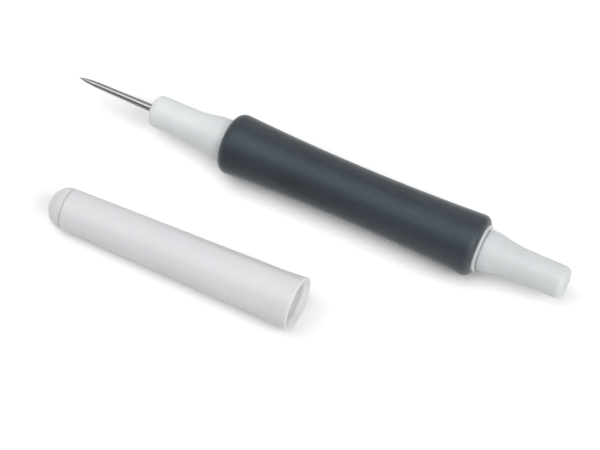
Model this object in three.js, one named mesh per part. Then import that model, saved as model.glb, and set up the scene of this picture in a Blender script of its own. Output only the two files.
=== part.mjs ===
// A die pick lying beside its cap: a needle in a white nose, a waisted soft grip on a stiff white tube,
// a white plug at the rear end, and a long flared cap with a domed end plug.
// Millimetres, +Z up. The pick lies along X with its needle towards -X. The cap lies nearly parallel to it.

import * as THREE from 'three';

// Core tube, from whose radius and wall the sleeve, the plugs and the cap's mouth take theirs
const TUBE_RADIUS = 6.18;
const TUBE_WALL = 1.23;
const TUBE_RIM = 0.55;

// Grip sleeve: its wall is measured at the waist, and the grip swells from there to its ends
const GRIP_LENGTH = 71.8;
const SLEEVE_WALL = 1.1;
const GRIP_SWELL = 1.05;
const FRONT_SHOULDER = 2.7;
const REAR_SHOULDER = 2;
const SLEEVE_LIP = 1.6;

// Nose and rear plug: their land stands out from their spigot by a step
const LAND_STEP = 0.48;
const NECK_RADIUS = 4.29;
const FLARE_LENGTH = 8.2;
const NOSE_LENGTH = 22.3;
const NOSE_LAND_LENGTH = 3.2;
const NOSE_EDGE = 2;
const NOSE_SPIGOT_LENGTH = 14;
const PLUG_LENGTH = 23.4;
const PLUG_GROOVE = 0.42;
const PLUG_LAND_LENGTH = 2.7;
const PLUG_LAND_EDGE = 0.6;
const PLUG_EDGE = 1.7;
const PLUG_SPIGOT_LENGTH = 14;

// Needle
const NEEDLE_REACH = 22.5;
const NEEDLE_RADIUS = 1.05;
const NEEDLE_SHANK_LENGTH = 18;
const POINT_LENGTH = 7.5;
const POINT_ROOT_RADIUS = 0.82;
const POINT_FULLNESS = 2.3;

// Cap: its walls are measured at the root of the flare and at the narrow end, its sink and lip at the mouth
const CAP_TUBE_LENGTH = 65.4;
const CAP_FLARE_LENGTH = 10.9;
const CAP_FLARE_WALL = 1.13;
const CAP_END_RADIUS = 5.48;
const CAP_END_WALL = 1.15;
const CAP_SINK_WIDTH = 1.27;
const CAP_SINK_DEPTH = 1.3;
const CAP_LIP_WIDTH = 0.44;
const CAP_LIP_EDGE = 0.2;
const CAP_LAND_LENGTH = 2.5;
const CAP_PLUG_SPIGOT_LENGTH = 4.5;
const CAP_DOME_HEIGHT = 4.9;
const CAP_SEAM = 0.3;

// Where the cap lies: its mouth from the middle of the grip along X and beside the pick's axis, and the
// angle in radians by which it is turned away from the pick
const CAP_MOUTH_AHEAD = 2;
const CAP_ASIDE = 34.7;
const CAP_YAW = 0.011;

// Clearances
const FIT = 0.05;
const NEEDLE_FIT = 0.03;
const SEAT = 0.05;
const CAP_FIT = 0.05;

// Facets of a turned piece, and steps of a curve in its outline
const SEGMENTS = 40;
const CURVE_STEPS = 5;
const WAIST_STEPS = 12;

// Places along the pick, measured from the middle of the grip
const gripFront = -GRIP_LENGTH / 2;
const gripRear = GRIP_LENGTH / 2;
const tubeFront = gripFront + SLEEVE_LIP + SEAT;
const tubeRear = gripRear + TUBE_RIM;
const noseFace = gripFront - NOSE_LENGTH;
const needleTip = noseFace - NEEDLE_REACH;
const plugLandStart = tubeRear + PLUG_GROOVE;
const plugFace = gripRear + PLUG_LENGTH;

// Radii from the tube outwards, from the tube inwards, and at the cap's two ends
const sleeveBoreRadius = TUBE_RADIUS + FIT;
const waistRadius = sleeveBoreRadius + SLEEVE_WALL;
const tubeBoreRadius = TUBE_RADIUS - TUBE_WALL;
const spigotRadius = tubeBoreRadius - FIT;
const landRadius = spigotRadius + LAND_STEP;
const capBoreRadius = landRadius + CAP_FIT;
const capFlareRootRadius = capBoreRadius + CAP_FLARE_WALL;
const capSinkRadius = capBoreRadius + CAP_SINK_WIDTH;
const capLipRadius = capSinkRadius + CAP_LIP_WIDTH;
const capSocketRadius = CAP_END_RADIUS - CAP_END_WALL;

// Radius of the waisted grip at a place along the pick, before its ends are rounded over.
function gripRadius(along) {
  return waistRadius + GRIP_SWELL * (along / gripRear) ** 2;
}

// An outline is a path of (place along the axis, radius), drawn from the -X end round to the +X end.
// It starts and ends on the axis or closes on itself, and is turned about X.
function turned(outline) {
  const profile = outline.getPoints(CURVE_STEPS).map((point) => new THREE.Vector2(point.y, point.x));
  return new THREE.LatheGeometry(profile, SEGMENTS).rotateZ(-Math.PI / 2);
}

function piece(name, geometry, look) {
  const mesh = new THREE.Mesh(geometry, new THREE.MeshStandardMaterial(look));
  mesh.name = name;
  return mesh;
}

// Quarter rounds: one rises from a face that looks to -X, the other falls to a face that looks to +X.
// They reach in no farther than the face's inner radius.
function roundUp(outline, face, inner, radius, bend) {
  const rise = Math.min(bend, radius - inner);
  outline.absellipse(face + bend, radius - rise, bend, rise, Math.PI, Math.PI / 2, true);
}

function roundDown(outline, face, inner, radius, bend) {
  const rise = Math.min(bend, radius - inner);
  outline.absellipse(face - bend, radius - rise, bend, rise, Math.PI / 2, 0, true);
}

const steel = { color: '#b9bcbe', roughness: 0.25, metalness: 1 };
const softGrip = { color: '#4b535b', roughness: 0.75, metalness: 0 };
const whitePlastic = { color: '#dfe4e7', roughness: 0.42, metalness: 0 };
const capPlastic = { color: '#e3e5e8', roughness: 0.42, metalness: 0 };
const domePlastic = { color: '#d8dadb', roughness: 0.45, metalness: 0 };

// The needle swells in a pointed arch from its tip, tapers on to the nose and keeps its radius inside it.
function needle() {
  const outline = new THREE.Path();
  const root = needleTip + POINT_LENGTH;
  const end = noseFace + NEEDLE_SHANK_LENGTH;
  outline.moveTo(needleTip, 0);
  outline.quadraticCurveTo(needleTip + POINT_FULLNESS, POINT_ROOT_RADIUS, root, POINT_ROOT_RADIUS);
  outline.lineTo(noseFace, NEEDLE_RADIUS);
  outline.lineTo(end, NEEDLE_RADIUS);
  outline.lineTo(end, 0);
  return piece('pick_needle', turned(outline), steel);
}

// The nose: a blind bore for the needle, a straight neck, a hollow flare up to the land, and the spigot.
function nose() {
  const outline = new THREE.Path();
  const bore = NEEDLE_RADIUS + NEEDLE_FIT;
  const boreEnd = noseFace + NEEDLE_SHANK_LENGTH + SEAT;
  const landStart = gripFront - NOSE_LAND_LENGTH;
  const neckEnd = landStart - FLARE_LENGTH;
  const shoulder = tubeFront - SEAT;
  outline.moveTo(boreEnd, 0);
  outline.lineTo(boreEnd, bore);
  outline.lineTo(noseFace, bore);
  roundUp(outline, noseFace, bore, NECK_RADIUS, NOSE_EDGE);
  outline.lineTo(neckEnd, NECK_RADIUS);
  outline.quadraticCurveTo((neckEnd + landStart) / 2, NECK_RADIUS, landStart, landRadius);
  outline.lineTo(shoulder, landRadius);
  outline.lineTo(shoulder, spigotRadius);
  outline.lineTo(tubeFront + NOSE_SPIGOT_LENGTH, spigotRadius);
  outline.lineTo(tubeFront + NOSE_SPIGOT_LENGTH, 0);
  return piece('nose', turned(outline), whitePlastic);
}

function coreTube() {
  const outline = new THREE.Path();
  outline.moveTo(tubeFront, tubeBoreRadius);
  outline.lineTo(tubeFront, TUBE_RADIUS);
  outline.lineTo(tubeRear, TUBE_RADIUS);
  outline.lineTo(tubeRear, tubeBoreRadius);
  outline.closePath();
  return piece('core_tube', turned(outline), whitePlastic);
}

// The sleeve is rounded over at both ends. Its front lip closes in to the nose's land over the tube's end.
function gripSleeve() {
  const outline = new THREE.Path();
  const lipEnd = gripFront + SLEEVE_LIP;
  const lipBore = landRadius + FIT;
  const crestFront = gripFront + FRONT_SHOULDER;
  const crestRear = gripRear - REAR_SHOULDER;
  outline.moveTo(gripFront, lipBore);
  roundUp(outline, gripFront, lipBore, gripRadius(crestFront), FRONT_SHOULDER);
  for (let step = 1; step < WAIST_STEPS; step += 1) {
    const along = THREE.MathUtils.lerp(crestFront, crestRear, step / WAIST_STEPS);
    outline.lineTo(along, gripRadius(along));
  }
  roundDown(outline, gripRear, sleeveBoreRadius, gripRadius(crestRear), REAR_SHOULDER);
  outline.lineTo(gripRear, sleeveBoreRadius);
  outline.lineTo(lipEnd, sleeveBoreRadius);
  outline.lineTo(lipEnd, lipBore);
  outline.closePath();
  return piece('grip_sleeve', turned(outline), softGrip);
}

// The rear plug: a spigot that shows as a groove behind the tube's rim, then land, flare and neck as on
// the nose.
function rearPlug() {
  const outline = new THREE.Path();
  const spigotStart = tubeRear - PLUG_SPIGOT_LENGTH;
  const landEnd = plugLandStart + PLUG_LAND_LENGTH;
  const neckStart = landEnd + FLARE_LENGTH;
  outline.moveTo(spigotStart, 0);
  outline.lineTo(spigotStart, spigotRadius);
  outline.lineTo(plugLandStart, spigotRadius);
  outline.quadraticCurveTo(plugLandStart, landRadius, plugLandStart + PLUG_LAND_EDGE, landRadius);
  outline.lineTo(landEnd, landRadius);
  outline.quadraticCurveTo((landEnd + neckStart) / 2, NECK_RADIUS, neckStart, NECK_RADIUS);
  roundDown(outline, plugFace, 0, NECK_RADIUS, PLUG_EDGE);
  outline.lineTo(plugFace, 0);
  return piece('rear_plug', turned(outline), whitePlastic);
}

// The cap's own frame has its mouth at X = 0 and its dome towards -X.
function capTube() {
  const outline = new THREE.Path();
  const landEnd = -CAP_SINK_DEPTH - CAP_LAND_LENGTH;
  const socketEnd = -CAP_TUBE_LENGTH + CAP_PLUG_SPIGOT_LENGTH;
  outline.moveTo(-CAP_TUBE_LENGTH, capSocketRadius);
  outline.lineTo(-CAP_TUBE_LENGTH, CAP_END_RADIUS);
  outline.lineTo(-CAP_FLARE_LENGTH, capFlareRootRadius);
  outline.quadraticCurveTo(-CAP_FLARE_LENGTH / 2, capFlareRootRadius, -CAP_LIP_EDGE, capLipRadius);
  outline.lineTo(0, capLipRadius - CAP_LIP_EDGE);
  outline.lineTo(0, capSinkRadius);
  outline.lineTo(-CAP_SINK_DEPTH, capBoreRadius);
  outline.lineTo(landEnd, capBoreRadius);
  outline.lineTo(socketEnd, capSocketRadius);
  outline.closePath();
  return piece('cap_tube', turned(outline), capPlastic);
}

// The dome stands a fine seam away from the tube's end, and its spigot fills the tube's socket.
function capEndPlug() {
  const outline = new THREE.Path();
  const shoulder = -CAP_TUBE_LENGTH - CAP_SEAM;
  const apex = shoulder - CAP_DOME_HEIGHT;
  const spigotEnd = -CAP_TUBE_LENGTH + CAP_PLUG_SPIGOT_LENGTH - CAP_SEAM;
  outline.absellipse(shoulder, 0, shoulder - apex, CAP_END_RADIUS, Math.PI, Math.PI / 2, true);
  outline.lineTo(shoulder, capSocketRadius - FIT);
  outline.lineTo(spigotEnd, capSocketRadius - FIT);
  outline.lineTo(spigotEnd, 0);
  return piece('cap_end_plug', turned(outline), domePlastic);
}

// The pick lies on the crest of its grip. The cap lies on its lip and on its narrow end, so it is pitched.
const crestRadius = gripRadius(Math.max(-gripFront - FRONT_SHOULDER, gripRear - REAR_SHOULDER));
const capPitch = Math.atan2(capLipRadius - CAP_END_RADIUS, CAP_TUBE_LENGTH);

const pick = new THREE.Group();
pick.add(needle(), nose(), coreTube(), gripSleeve(), rearPlug());
pick.position.z = crestRadius;

const cap = new THREE.Group();
cap.add(capTube(), capEndPlug());
cap.rotation.set(0, -capPitch, CAP_YAW, 'ZYX');
cap.position.set(CAP_MOUTH_AHEAD, -CAP_ASIDE, capLipRadius * Math.cos(capPitch));

// The origin is under the middle of the whole set, on the surface it lies on.
const diePick = new THREE.Group();
diePick.add(pick, cap);
const box = new THREE.Box3().setFromObject(diePick, true);
diePick.position.set(-(box.min.x + box.max.x) / 2, -(box.min.y + box.max.y) / 2, -box.min.z);

export default diePick;
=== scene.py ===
"""A die pick on a pale surface beside its cap.

The pick has a needle in a white nose, a waisted soft grip and a white rear plug. The cap is long and flared.
Every visible piece is turned about its own axis from an outline in millimetres: (place along it, radius).
"""

import math

import bmesh
import bpy
from mathutils import Matrix, Vector


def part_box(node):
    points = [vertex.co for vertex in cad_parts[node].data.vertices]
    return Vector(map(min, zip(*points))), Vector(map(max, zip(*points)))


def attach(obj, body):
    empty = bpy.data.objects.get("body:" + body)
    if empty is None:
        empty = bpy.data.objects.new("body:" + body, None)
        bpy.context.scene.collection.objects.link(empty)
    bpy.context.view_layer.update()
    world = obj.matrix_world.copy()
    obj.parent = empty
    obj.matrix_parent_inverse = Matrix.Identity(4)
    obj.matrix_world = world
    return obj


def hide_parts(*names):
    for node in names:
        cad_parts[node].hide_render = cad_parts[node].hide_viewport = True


MM = 0.001

# The photograph's frame, and where its camera stands. The ground point under the middle of the grip is the
# camera's reference: SIGHT_RIGHT and SIGHT_BEYOND give the aimed point from there, across the view and away.
IMAGE_WIDTH = 600
SENSOR_WIDTH = 36.0
FOCAL_PIXELS = 2000.0
ELEVATION = 58.49
TURN = 26.87
DISTANCE = 516.06
SIGHT_RIGHT = -13.45
SIGHT_BEYOND = -4.37
CLIP_START = 0.01

# Sizes along the pick, in millimetres from the middle of the grip
GRIP_HALF = 35.9
WAIST_RADIUS = 7.33
GRIP_SWELL = 1.05
FRONT_SHOULDER = 2.7
REAR_SHOULDER = 2.0
SLEEVE_LIP = 1.6
TUBE_RADIUS = 6.18
TUBE_BORE_RADIUS = 4.95
TUBE_RIM = 0.55
LAND_RADIUS = 5.38
NECK_RADIUS = 4.29
FLARE_LENGTH = 8.2
NOSE_LENGTH = 22.3
NOSE_LAND_LENGTH = 3.2
NOSE_EDGE = 2.0
PLUG_LENGTH = 23.4
PLUG_GROOVE = 0.42
PLUG_LAND_LENGTH = 2.7
PLUG_LAND_EDGE = 0.6
PLUG_EDGE = 1.7
SPIGOT_LENGTH = 14.0
NEEDLE_REACH = 22.5
NEEDLE_RADIUS = 1.05
SHANK_LENGTH = 18.0
POINT_LENGTH = 7.5
POINT_ROOT_RADIUS = 0.82
POINT_FULLNESS = 2.3

# Sizes of the cap, in millimetres from its mouth
CAP_TUBE_LENGTH = 65.4
CAP_LIP_RADIUS = 7.14
CAP_FLARE_LENGTH = 10.9
CAP_FLARE_ROOT_RADIUS = 6.56
CAP_END_RADIUS = 5.48
CAP_LIP_EDGE = 0.25
CAP_SINK_RADIUS = 6.7
CAP_SINK_DEPTH = 1.3
CAP_SINK_BEND = 1.2
CAP_LAND_LENGTH = 2.5
CAP_WALL = 1.15
CAP_SPIGOT_LENGTH = 4.5
CAP_DOME_HEIGHT = 4.9
CAP_SEAM = 0.3
CAP_SEAM_DEPTH = 0.2
CAP_SEAM_FIT = 0.03

# Where the cap lies: its mouth ahead of the grip's middle and beside the pick's axis, and its turn in radians
CAP_MOUTH_AHEAD = 2.0
CAP_ASIDE = 34.7
CAP_YAW = 0.011
CAP_PITCH = math.atan2(CAP_LIP_RADIUS - CAP_END_RADIUS, CAP_TUBE_LENGTH)

# Clearances in millimetres: round a piece that sits in another, round the needle, and before a spigot's seat
FIT = 0.05
NEEDLE_FIT = 0.03
SEAT = 0.05

# Rounding of the moulded edges and of the corner between land and flare, and how many of the flare's points
# that soft corner takes the place of
FINE_EDGE = 0.12
LAND_BEND = 7.0
FLARE_TRIM = 4

# The narrow strip that keeps a flat face flat up to its rounded edge
HOLD = 0.04

# How finely curves are divided, and the distances below which two points are one or a point is on the axis
ARC_STEP = math.radians(9)
FACETS = 128
CURVE_STEPS = 24
DOME_STEPS = 24
POINT_STEPS = 40
PLUG_EDGE_STEPS = 8
WAIST_STEPS = 72
SAME_POINT = 1e-6
ON_AXIS = 1e-9

# Where most of a noise's values lie, a narrower range for more contrast, and the range for the sum of two
MOST = (0.3, 0.7)
MIDDLE = (0.35, 0.65)
MOST_OF_TWO = (0.8, 1.2)

# Noises: grains a metre, and detail. A pattern that is drawn out along the piece also has its stretch.
GRIP_MOTTLE = (90, 2)
GRIP_SPECKLE = (1300, 3)
GRIP_END_HIGHLIGHT_BREAKUP = (700, 4)
GRIP_GLOSS = (160, 3)
GRIP_PEBBLE = (2600, 2)
WHITE_CLOUDS = (70, 2)
WHITE_MARKS = (420, 4, (0.12, 1, 1))
WHITE_GRAIN = (2400, 2)
STEEL_LINES = (5200, 3, (0.03, 1, 1))

# Depths of bump, in metres
PEBBLE_DEPTH = 0.00006
GRAIN_DEPTH = 0.000004
LINE_DEPTH = 0.000004

# The grip's skin: its two blended tones and its roughness, then the paler tone at its ends, which is painted
# highlight where the rounded shoulders catch the light, with some wear in it; how far from the ends that
# begins and is full, and its share there, which falls to END_HIGHLIGHT_LEAST of that in places
GRIP_TONES = ((0.0235, 0.0285, 0.035), (0.0305, 0.0375, 0.046))
GRIP_ROUGHNESS = (0.46, 0.53)
END_HIGHLIGHT_AND_WEAR_TONE = (0.135, 0.14, 0.146)
END_HIGHLIGHT_FROM = 2.4
END_HIGHLIGHT_FULL = 0.2
END_HIGHLIGHT_SHARE = 0.3
END_HIGHLIGHT_LEAST = 0.5

# The needle's two blended tones and its roughness
STEEL_TONES = ((0.3, 0.3, 0.305), (0.38, 0.38, 0.385))
STEEL_ROUGHNESS = (0.16, 0.24)

# White plastics: two blended tones and the roughness of each, and how far that varies
NOSE_WHITE = ((0.76, 0.785, 0.79), (0.74, 0.767, 0.775), 0.4)
# The plug's whites are a shade darker than the nose's.
PLUG_WHITE = ((0.675, 0.697, 0.705), (0.658, 0.68, 0.689), 0.4)
TUBE_WHITE = ((0.88, 0.9, 0.9), (0.86, 0.884, 0.886), 0.42)
CAP_WHITE = ((0.736, 0.745, 0.756), (0.72, 0.731, 0.746), 0.42)
DOME_WHITE = ((0.754, 0.764, 0.76), (0.736, 0.748, 0.744), 0.42)
SMOOTHER = 0.04
ROUGHER = 0.05

# How far light scatters in the white plastics, in metres: in most of them, in the cap, and by colour
GLOW = 0.003
CAP_GLOW = 0.0012
GLOW_BY_COLOUR = (1.0, 0.97, 0.88)

# The cap's mouth: the paler tone of its bore, painted light that stands in for light coming through the thin
# wall, the radius that holds the bore, and the depths at which that tone is full, begins to fade and is gone.
# Then its share on the sink, also painted light, and the widths over which it ends.
BORE_PAINTED_LIGHT = (0.93, 0.935, 0.905)
BORE_EDGE = 5.6
BORE_LIGHT_FULL = 3
BORE_LIGHT_FADES = 16
BORE_LIGHT_GONE = 22
SINK_LIGHT_SHARE = 0.25
BORE_BLUR = 0.3
SINK_BLUR = 0.1

# The floor, in metres: half its width, and how far out it begins to turn plain white and has turned. Its tone
# for the light that it throws back, its tone as the camera sees it, and the strength of the sky.
FLOOR_HALF = 3.0
FLOOR_NEAR = 0.25
FLOOR_FAR = 0.5
FLOOR_TONE = 0.8
FLOOR_SEEN = 1.11
SKY_LEVEL = 0.1

# Softboxes: compass direction from the right of the view towards its far side and height above the floor in
# degrees, width and depth in metres, and strength
LAMP_DISTANCE = 1.2
LAMPS = {
    "left": (180, 65, 1.1, 1.6, 1.98),
    "back": (88, 25, 1.5, 0.9, 0.8),
    "right": (-42, 40, 1.2, 0.85, 3.2),
}

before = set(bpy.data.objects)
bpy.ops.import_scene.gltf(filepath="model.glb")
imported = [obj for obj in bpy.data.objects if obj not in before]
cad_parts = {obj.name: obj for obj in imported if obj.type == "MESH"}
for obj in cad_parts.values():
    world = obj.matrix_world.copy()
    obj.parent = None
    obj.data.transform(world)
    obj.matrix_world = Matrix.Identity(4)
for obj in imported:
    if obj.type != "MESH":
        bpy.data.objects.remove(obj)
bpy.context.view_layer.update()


def arc(centre_x, centre_r, radius, start, end):
    """Points on an arc about (centre_x, centre_r), from one angle in degrees to the other."""
    sweep = math.radians(end - start)
    steps = max(2, math.ceil(abs(sweep) / ARC_STEP))
    angles = [math.radians(start) + sweep * k / steps for k in range(steps + 1)]
    return [(centre_x + radius * math.cos(a), centre_r + radius * math.sin(a)) for a in angles]


def curve(start, control, end, steps=CURVE_STEPS):
    """Points on a quadratic curve."""
    points = []
    for k in range(steps + 1):
        t = k / steps
        weights = ((1 - t) ** 2, 2 * t * (1 - t), t**2)
        points.append(tuple(sum(w * p[i] for w, p in zip(weights, (start, control, end))) for i in range(2)))
    return points


def eased(before, corner, after, radius):
    """Points that round off a corner between two straight lines."""
    to_before = (Vector(before) - Vector(corner)).normalized()
    to_after = (Vector(after) - Vector(corner)).normalized()
    half = to_before.angle(to_after) / 2
    centre = Vector(corner) + (to_before + to_after).normalized() * radius / math.sin(half)
    towards_start = Vector(corner) + to_before * radius / math.tan(half) - centre
    start = math.degrees(math.atan2(towards_start.y, towards_start.x))
    sweep = 180 - math.degrees(2 * half)
    clockwise = to_before.x * to_after.y - to_before.y * to_after.x > 0
    return arc(centre.x, centre.y, radius, start, start - sweep if clockwise else start + sweep)


def flowing(outline):
    """Turns an outline's items into points. An item is a corner (x, r), a corner to round off (x, r, radius),
    or a list of points on a curve. Straight lines get a point close to each end, so that they shade flat."""
    firsts = [item[:2] if isinstance(item, tuple) else item[0] for item in outline]
    lasts = [item[:2] if isinstance(item, tuple) else item[-1] for item in outline]
    runs = []
    for k, item in enumerate(outline):
        if isinstance(item, list):
            runs.append(item)
        elif len(item) == 3:
            runs.append(eased(lasts[k - 1], item[:2], firsts[(k + 1) % len(outline)], item[2]))
        else:
            runs.append([item])
    points = []
    for run in runs:
        if points:
            points += held(points[-1], run[0])
        points += [p for p in run if not points or math.dist(p, points[-1]) > SAME_POINT]
    if points[0][1] > 0:
        points += held(points[-1], points[0])
    return points


def held(start, end):
    """The two points close to the ends of a straight line, if it is long enough to need them."""
    length = math.dist(start, end)
    if length < 4 * HOLD:
        return []
    t = HOLD / length
    return [tuple(a + (b - a) * u for a, b in zip(start, end)) for u in (t, 1 - t)]


def turned(name, outline, place, material):
    """A closed mesh turned about its own X axis. The outline runs from axis to axis or closes on itself. The
    turn that place holds goes into the mesh, so that the piece's own box stays level."""
    points = flowing(outline)
    mesh = bmesh.new()
    rings = []
    for x, r in points:
        if r < ON_AXIS:
            rings.append([mesh.verts.new((x * MM, 0, 0))])
            continue
        angles = [2 * math.pi * k / FACETS for k in range(FACETS)]
        rings.append([mesh.verts.new((x * MM, r * MM * math.cos(a), r * MM * math.sin(a))) for a in angles])
    pairs = list(zip(rings, rings[1:]))
    if len(rings[0]) > 1:
        pairs.append((rings[-1], rings[0]))
    for first, second in pairs:
        for k in range(FACETS):
            n = (k + 1) % FACETS
            near = [first[k % len(first)], first[n % len(first)]]
            far = [second[n % len(second)], second[k % len(second)]]
            mesh.faces.new(list(dict.fromkeys(near + far)))
    bmesh.ops.recalc_face_normals(mesh, faces=mesh.faces)
    bmesh.ops.transform(mesh, matrix=place.to_3x3().to_4x4(), verts=mesh.verts)
    for face in mesh.faces:
        face.smooth = True
    data = bpy.data.meshes.new(name)
    mesh.to_mesh(data)
    mesh.free()
    data.materials.append(material)
    piece = bpy.data.objects.new(name, data)
    bpy.context.scene.collection.objects.link(piece)
    piece.location = place.translation
    return piece


def grip_radius(along):
    return WAIST_RADIUS + GRIP_SWELL * (along / GRIP_HALF) ** 2


def flare(neck, land):
    """The hollow flare from the neck's end to the land's start, and the soft corner that it ends in."""
    points = curve((neck, NECK_RADIUS), ((neck + land) / 2, NECK_RADIUS), (land, LAND_RADIUS))
    return points[:-FLARE_TRIM], (land, LAND_RADIUS, LAND_BEND)


class Recipe:
    """A material's nodes, added and joined with few words."""

    def __init__(self, name):
        self.material = bpy.data.materials.new(name)
        self.material.use_nodes = True
        self.tree = self.material.node_tree
        self.tree.nodes.clear()
        self.shader = self.add("ShaderNodeBsdfPrincipled")
        output = self.add("ShaderNodeOutputMaterial")
        self.tree.links.new(self.shader.outputs["BSDF"], output.inputs["Surface"])
        self.place = self.add("ShaderNodeTexCoord").outputs["Object"]

    def add(self, kind, settings=None, **inputs):
        """A node with its settings, and with inputs that are numbers, colours or other nodes' outputs."""
        node = self.tree.nodes.new(kind)
        for key, value in (settings or {}).items():
            setattr(node, key, value)
        self.feed(node, **inputs)
        return node

    def put(self, socket, value):
        """Joins another node's output to a socket, or sets the socket."""
        if isinstance(value, bpy.types.NodeSocket):
            self.tree.links.new(value, socket)
        else:
            socket.default_value = value

    def feed(self, node, **inputs):
        for key, value in inputs.items():
            self.put(node.inputs[key.replace("_", " ")], value)

    def noise(self, scale, detail, stretch=(1, 1, 1)):
        """A noise value whose grains are about 1/scale metres across, drawn out by stretch."""
        mapping = self.add("ShaderNodeMapping", Vector=self.place, Scale=stretch)
        noise = self.add("ShaderNodeTexNoise", Vector=mapping.outputs["Vector"], Scale=scale, Detail=detail)
        return noise.outputs["Fac"]

    def ranged(self, value, low, high, to_low, to_high):
        """A value that runs from to_low to to_high while the given one runs from low to high."""
        node = self.add("ShaderNodeMapRange", Value=value)
        self.feed(node, From_Min=low, From_Max=high, To_Min=to_low, To_Max=to_high)
        return node.outputs["Result"]

    def blend(self, amount, first, second):
        """One colour where amount is 0 and the other where it is 1."""
        node = self.add("ShaderNodeMix", {"data_type": "RGBA"})
        for socket, value in zip((node.inputs[0], node.inputs[6], node.inputs[7]), (amount, first, second)):
            self.put(socket, value)
        return node.outputs[2]

    def times(self, first, second):
        return self.add_math("MULTIPLY", first, second)

    def add_math(self, operation, first, second):
        node = self.add("ShaderNodeMath", {"operation": operation})
        for socket, value in zip(node.inputs, (first, second)):
            self.put(socket, value)
        return node.outputs[0]

    def bump(self, height, depth):
        """Bump of that height's pattern, depth in metres."""
        node = self.add("ShaderNodeBump", Height=height, Distance=depth, Strength=1.0)
        self.feed(self.shader, Normal=node.outputs["Normal"])


def rgb(red, green, blue):
    return (red, green, blue, 1.0)


def grey(level):
    return rgb(level, level, level)


def rgb_pair(tones):
    return [rgb(*tone) for tone in tones]


def soft_touch():
    """The grip's soft slate skin: fine pebble, slow tone changes, and paler ends, painted highlight with some
    wear.
    """
    recipe = Recipe("soft_touch")
    mottle = recipe.add_math("ADD", recipe.noise(*GRIP_MOTTLE), recipe.noise(*GRIP_SPECKLE))
    colour = recipe.blend(recipe.ranged(mottle, *MOST_OF_TWO, 0, 1), *rgb_pair(GRIP_TONES))
    along = recipe.add("ShaderNodeSeparateXYZ", Vector=recipe.place).outputs["X"]
    from_middle = recipe.add_math("ABSOLUTE", along, 0.0)
    # Painted highlight: the skin turns paler towards each end, where the rounded shoulders catch the light,
    # broken up by a wear noise.
    highlight_from, highlight_full = (GRIP_HALF - END_HIGHLIGHT_FROM) * MM, (GRIP_HALF - END_HIGHLIGHT_FULL) * MM
    highlight_at_ends = recipe.ranged(from_middle, highlight_from, highlight_full, 0, END_HIGHLIGHT_SHARE)
    highlight_and_wear = recipe.times(highlight_at_ends, recipe.ranged(recipe.noise(*GRIP_END_HIGHLIGHT_BREAKUP), *MIDDLE, END_HIGHLIGHT_LEAST, 1))
    colour = recipe.blend(highlight_and_wear, colour, rgb(*END_HIGHLIGHT_AND_WEAR_TONE))
    gloss = recipe.ranged(recipe.noise(*GRIP_GLOSS), *MOST, *GRIP_ROUGHNESS)
    recipe.feed(recipe.shader, Base_Color=colour, Roughness=gloss)
    recipe.feed(recipe.shader, Specular_Tint=rgb(0.75, 0.9, 1.0), Specular_IOR_Level=0.65)
    recipe.feed(recipe.shader, Sheen_Weight=0.7, Sheen_Roughness=0.3)
    recipe.bump(recipe.noise(*GRIP_PEBBLE), PEBBLE_DEPTH)
    return recipe.material


def painted_light_in_mouth(recipe):
    """Where the cap's mouth gets painted light: 1 on the bore, SINK_LIGHT_SHARE on the sink before it and 0
    elsewhere.
    The cap's pitch and turn are undone first."""
    untilted = recipe.add("ShaderNodeMapping", Vector=recipe.place, Rotation=(0, CAP_PITCH, -CAP_YAW))
    level = untilted.outputs["Vector"]
    depth = recipe.add("ShaderNodeSeparateXYZ", Vector=level).outputs["X"]
    across = recipe.add("ShaderNodeMapping", Vector=level, Scale=(0, 1, 1)).outputs["Vector"]
    radius = recipe.add("ShaderNodeVectorMath", {"operation": "LENGTH"}, Vector=across).outputs["Value"]
    inside = recipe.ranged(radius, BORE_EDGE * MM, (BORE_EDGE + BORE_BLUR) * MM, 1, 0)
    behind = recipe.ranged(depth, -BORE_LIGHT_FULL * MM, -CAP_SINK_DEPTH * MM, 1, 0)
    near = recipe.ranged(depth, -BORE_LIGHT_GONE * MM, -BORE_LIGHT_FADES * MM, 0, 1)
    bore = recipe.times(recipe.times(inside, behind), near)
    ahead = recipe.ranged(depth, -BORE_LIGHT_FULL * MM, -CAP_SINK_DEPTH * MM, 0, SINK_LIGHT_SHARE)
    within = recipe.ranged(radius, CAP_SINK_RADIUS * MM, (CAP_SINK_RADIUS + SINK_BLUR) * MM, 1, 0)
    return recipe.add_math("MAXIMUM", bore, recipe.times(ahead, within))


def moulded_white(name, first, second, roughness, glow=GLOW, paint_mouth_light=False):
    """Satin moulded plastic: slow tone changes, fine grain, and light handling marks along the piece. A piece
    with bored set gets painted light in its mouth: a paler tone that stands in for light through its thin
    wall."""
    recipe = Recipe(name)
    clouds = recipe.ranged(recipe.noise(*WHITE_CLOUDS), *MOST, 0, 1)
    tint = recipe.blend(clouds, *rgb_pair((first, second)))
    if paint_mouth_light:
        # Painted light: the bore and the sink are made paler, standing in for light that comes through the
        # thin wall.
        tint = recipe.blend(painted_light_in_mouth(recipe), tint, rgb(*BORE_PAINTED_LIGHT))
    gloss = recipe.ranged(recipe.noise(*WHITE_MARKS), *MIDDLE, roughness - SMOOTHER, roughness + ROUGHER)
    recipe.feed(recipe.shader, Base_Color=tint, Roughness=gloss)
    recipe.feed(recipe.shader, Subsurface_Weight=1.0, Subsurface_Radius=GLOW_BY_COLOUR, Subsurface_Scale=glow)
    recipe.bump(recipe.noise(*WHITE_GRAIN), GRAIN_DEPTH)
    return recipe.material


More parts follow.
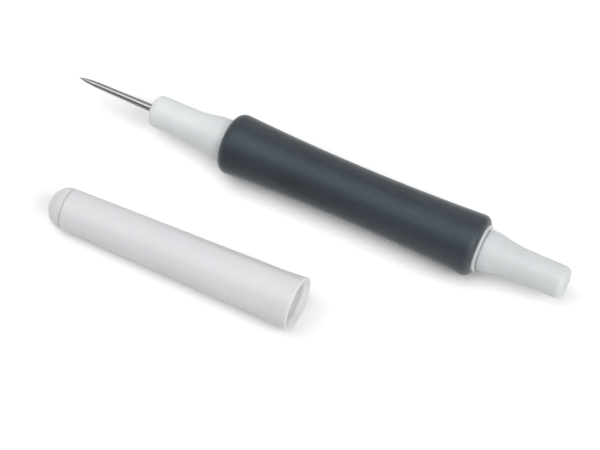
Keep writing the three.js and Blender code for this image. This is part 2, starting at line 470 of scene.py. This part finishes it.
def polished_steel():
    """The ground needle: fine grinding lines along it, drawn out by stretching the noise."""
    recipe = Recipe("polished_steel")
    lines = recipe.noise(*STEEL_LINES)
    tint = recipe.blend(recipe.ranged(lines, *MOST, 0, 1), *rgb_pair(STEEL_TONES))
    gloss = recipe.ranged(lines, *MOST, *STEEL_ROUGHNESS)
    recipe.feed(recipe.shader, Base_Color=tint, Roughness=gloss, Metallic=1.0)
    recipe.feed(recipe.shader, Specular_Tint=grey(0.6))
    recipe.bump(lines, LINE_DEPTH)
    return recipe.material


def needle_outline():
    nose_face = -GRIP_HALF - NOSE_LENGTH
    tip = nose_face - NEEDLE_REACH
    root = (tip + POINT_LENGTH, POINT_ROOT_RADIUS)
    end = nose_face + SHANK_LENGTH
    point = curve((tip, 0), (tip + POINT_FULLNESS, POINT_ROOT_RADIUS), root, POINT_STEPS)
    return [point, (nose_face, NEEDLE_RADIUS), (end, NEEDLE_RADIUS, FINE_EDGE), (end, 0)]


def nose_outline():
    face = -GRIP_HALF - NOSE_LENGTH
    bore = NEEDLE_RADIUS + NEEDLE_FIT
    bore_end = face + SHANK_LENGTH + SEAT
    land_start = -GRIP_HALF - NOSE_LAND_LENGTH
    neck_end = land_start - FLARE_LENGTH
    shoulder = -GRIP_HALF + SLEEVE_LIP
    spigot = TUBE_BORE_RADIUS - FIT
    spigot_end = shoulder + SEAT + SPIGOT_LENGTH
    return [
        (bore_end, 0),
        (bore_end, bore),
        (face, bore, FINE_EDGE),
        arc(face + NOSE_EDGE, NECK_RADIUS - NOSE_EDGE, NOSE_EDGE, 180, 90),
        *flare(neck_end, land_start),
        (shoulder, LAND_RADIUS, FINE_EDGE),
        (shoulder, spigot),
        (spigot_end, spigot, FINE_EDGE),
        (spigot_end, 0),
    ]


def tube_outline():
    front = -GRIP_HALF + SLEEVE_LIP + SEAT
    rear = GRIP_HALF + TUBE_RIM
    return [
        (front, TUBE_BORE_RADIUS),
        (front, TUBE_RADIUS),
        (rear, TUBE_RADIUS, FINE_EDGE),
        (rear, TUBE_BORE_RADIUS, FINE_EDGE),
    ]


def sleeve_outline():
    crest_front = -GRIP_HALF + FRONT_SHOULDER
    crest_rear = GRIP_HALF - REAR_SHOULDER
    front = grip_radius(crest_front) - FRONT_SHOULDER
    rear = grip_radius(crest_rear) - REAR_SHOULDER
    bore = TUBE_RADIUS + FIT
    lip_bore = LAND_RADIUS + FIT
    lip_end = -GRIP_HALF + SLEEVE_LIP
    places = [crest_front + (crest_rear - crest_front) * k / WAIST_STEPS for k in range(1, WAIST_STEPS)]
    skin = arc(crest_front, front, FRONT_SHOULDER, 180, 90)
    skin += [(x, grip_radius(x)) for x in places]
    skin += arc(crest_rear, rear, REAR_SHOULDER, 90, 0)
    return [(-GRIP_HALF, lip_bore), skin, (GRIP_HALF, bore), (lip_end, bore), (lip_end, lip_bore)]


def plug_outline():
    rim = GRIP_HALF + TUBE_RIM
    start = rim - SPIGOT_LENGTH
    land_start = rim + PLUG_GROOVE
    land_end = land_start + PLUG_LAND_LENGTH
    neck_start = land_end + FLARE_LENGTH
    face = GRIP_HALF + PLUG_LENGTH
    spigot = TUBE_BORE_RADIUS - FIT
    edge = (land_start + PLUG_LAND_EDGE, LAND_RADIUS)
    hollow, land_corner = flare(neck_start, land_end)
    return [
        (start, 0),
        (start, spigot, FINE_EDGE),
        (land_start, spigot),
        curve((land_start, spigot), (land_start, LAND_RADIUS), edge, PLUG_EDGE_STEPS),
        land_corner,
        hollow[::-1],
        arc(face - PLUG_EDGE, NECK_RADIUS - PLUG_EDGE, PLUG_EDGE, 90, 0),
        (face, 0),
    ]


def cap_outline():
    socket = CAP_END_RADIUS - CAP_WALL
    bore = LAND_RADIUS + FIT
    end = -CAP_TUBE_LENGTH
    root = (-CAP_FLARE_LENGTH, CAP_FLARE_ROOT_RADIUS)
    middle = (-CAP_FLARE_LENGTH / 2, CAP_FLARE_ROOT_RADIUS)
    flared = curve(root, middle, (-CAP_LIP_EDGE, CAP_LIP_RADIUS))
    return [
        (end, socket),
        (end, CAP_END_RADIUS, FINE_EDGE),
        flared[:-1],
        arc(-CAP_LIP_EDGE, CAP_LIP_RADIUS - CAP_LIP_EDGE, CAP_LIP_EDGE, 90, 0),
        (0, CAP_SINK_RADIUS, FINE_EDGE / 2),
        (-CAP_SINK_DEPTH, bore, CAP_SINK_BEND),
        (-CAP_SINK_DEPTH - CAP_LAND_LENGTH, bore, FINE_EDGE),
        (end + CAP_SPIGOT_LENGTH, socket),
    ]


def dome_outline():
    shoulder = -CAP_TUBE_LENGTH - CAP_SEAM
    socket = CAP_END_RADIUS - CAP_WALL - FIT
    spigot_end = -CAP_TUBE_LENGTH + CAP_SPIGOT_LENGTH - CAP_SEAM
    angles = [math.pi / 2 * k / DOME_STEPS for k in range(DOME_STEPS + 1)]
    dome = [(shoulder - CAP_DOME_HEIGHT * math.cos(a), CAP_END_RADIUS * math.sin(a)) for a in angles]
    step = CAP_END_RADIUS - CAP_SEAM_DEPTH
    step_face = -CAP_TUBE_LENGTH - CAP_SEAM_FIT
    return [
        dome,
        (shoulder, step),
        (step_face, step),
        (step_face, socket),
        (spigot_end, socket, FINE_EDGE),
        (spigot_end, 0),
    ]


def dress():
    """Builds every piece over the CAD node that it stands for."""
    low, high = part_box("grip_sleeve")
    pick = Matrix.Translation((low + high) / 2)
    beside = Vector((CAP_MOUTH_AHEAD, -CAP_ASIDE, 0)) * MM
    mouth = pick.translation + beside
    mouth.z = CAP_LIP_RADIUS * MM * math.cos(CAP_PITCH)
    cap = Matrix.Translation(mouth) @ Matrix.Rotation(CAP_YAW, 4, "Z") @ Matrix.Rotation(-CAP_PITCH, 4, "Y")

    nose_white = moulded_white("white_plastic", *NOSE_WHITE)
    plug_white = moulded_white("plug_plastic", *PLUG_WHITE)
    tube_white = moulded_white("tube_plastic", *TUBE_WHITE)
    cap_white = moulded_white("cap_plastic", *CAP_WHITE, glow=CAP_GLOW, paint_mouth_light=True)
    dome_white = moulded_white("dome_plastic", *DOME_WHITE)

    rows = [
        ("needle", needle_outline(), pick, polished_steel(), "handle", "pick_needle", "needle_steel"),
        ("nose_cone", nose_outline(), pick, nose_white, "handle", "nose", "nose_plastic"),
        ("tube", tube_outline(), pick, tube_white, "handle", "core_tube", "core_plastic"),
        ("sleeve", sleeve_outline(), pick, soft_touch(), "handle", "grip_sleeve", "grip_soft"),
        ("end_plug", plug_outline(), pick, plug_white, "handle", "rear_plug", "plug_plastic"),
        ("cap_shell", cap_outline(), cap, cap_white, "cap", "cap_tube", "cap_plastic"),
        ("cap_dome", dome_outline(), cap, dome_white, "cap", "cap_end_plug", "cap_plug_plastic"),
    ]
    for name, outline, place, material, body, node, slot in rows:
        piece = turned(name, outline, place, material)
        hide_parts(node)
        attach(piece, body)
    return pick.translation


def camera_at(grip_middle):
    """The photograph's camera. TURN gives the ground's first axis across the view and its second away."""
    turn = Matrix.Rotation(math.radians(TURN), 4, "Z")
    tilt = math.radians(ELEVATION)
    ground = Vector((grip_middle.x, grip_middle.y, 0))
    aim = ground + turn @ Vector((SIGHT_RIGHT, SIGHT_BEYOND, 0)) * MM
    forward = turn @ Vector((0, math.cos(tilt), -math.sin(tilt)))
    data = bpy.data.cameras.new("camera")
    data.sensor_width = SENSOR_WIDTH
    data.lens = FOCAL_PIXELS / IMAGE_WIDTH * SENSOR_WIDTH
    data.clip_start = CLIP_START
    camera = bpy.data.objects.new("camera", data)
    camera.location = aim - forward * DISTANCE * MM
    camera.rotation_euler = (math.pi / 2 - tilt, 0, math.radians(TURN))
    bpy.context.scene.collection.objects.link(camera)
    bpy.context.scene.camera = camera


def floor_paper():
    """White paper. What the camera sees of it is lifted to white and keeps its shadows, and far out it is
    plain white."""
    paper = Recipe("paper")
    seen = paper.add("ShaderNodeLightPath").outputs["Is Camera Ray"]
    colour = paper.blend(seen, grey(FLOOR_TONE), grey(FLOOR_SEEN))
    diffuse = paper.add("ShaderNodeBsdfDiffuse", Color=colour)
    white = paper.add("ShaderNodeEmission", Color=grey(1))
    from_middle = paper.add("ShaderNodeVectorMath", {"operation": "LENGTH"}, Vector=paper.place)
    distance = from_middle.outputs["Value"]
    far = paper.ranged(distance, FLOOR_NEAR, FLOOR_FAR, 0, 1)
    mixed = paper.add("ShaderNodeMixShader", Fac=paper.times(seen, far))
    output = next(node for node in paper.tree.nodes if node.type == "OUTPUT_MATERIAL")
    paper.tree.nodes.remove(paper.shader)
    paper.tree.links.new(diffuse.outputs["BSDF"], mixed.inputs[1])
    paper.tree.links.new(white.outputs["Emission"], mixed.inputs[2])
    paper.tree.links.new(mixed.outputs["Shader"], output.inputs["Surface"])
    return paper.material


def sky():
    """A faint even sky that the camera sees as plain white."""
    world = bpy.data.worlds.new("sky")
    world.use_nodes = True
    tree = world.node_tree
    background = tree.nodes["Background"]
    background.inputs["Color"].default_value = grey(1)
    level = tree.nodes.new("ShaderNodeMapRange")
    level.inputs["To Min"].default_value = SKY_LEVEL
    level.inputs["To Max"].default_value = 1.0
    seen = tree.nodes.new("ShaderNodeLightPath").outputs["Is Camera Ray"]
    tree.links.new(seen, level.inputs["Value"])
    tree.links.new(level.outputs["Result"], background.inputs["Strength"])
    return world


def softbox(name, target, compass, height, width, depth, strength):
    """A softbox that looks at the target, and is as bright as a sheet of that strength."""
    lamp = bpy.data.lights.new(name, "AREA")
    lamp.shape = "RECTANGLE"
    lamp.size = width
    lamp.size_y = depth
    lamp.energy = strength * math.pi * width * depth
    turn = Matrix.Rotation(math.radians(TURN + compass), 4, "Z")
    lift = Matrix.Rotation(math.radians(-height), 4, "Y")
    piece = bpy.data.objects.new(name, lamp)
    piece.location = target + turn @ lift @ Vector((LAMP_DISTANCE, 0, 0))
    piece.rotation_mode = "QUATERNION"
    piece.rotation_quaternion = (target - piece.location).to_track_quat("-Z", "Y")
    bpy.context.scene.collection.objects.link(piece)


def studio(grip_middle):
    """A pale floor, the sky and the lamps."""
    corners = [(-1, -1), (1, -1), (1, 1), (-1, 1)]
    data = bpy.data.meshes.new("floor")
    data.from_pydata([(x * FLOOR_HALF, y * FLOOR_HALF, 0) for x, y in corners], [], [(0, 1, 2, 3)])
    data.materials.append(floor_paper())
    floor = bpy.data.objects.new("floor", data)
    bpy.context.scene.collection.objects.link(floor)
    bpy.context.scene.world = sky()
    for name, row in LAMPS.items():
        softbox(name, Vector((grip_middle.x, grip_middle.y, 0)), *row)


middle = dress()
camera_at(middle)
studio(middle)
bpy.context.scene.view_settings.view_transform = "Standard"
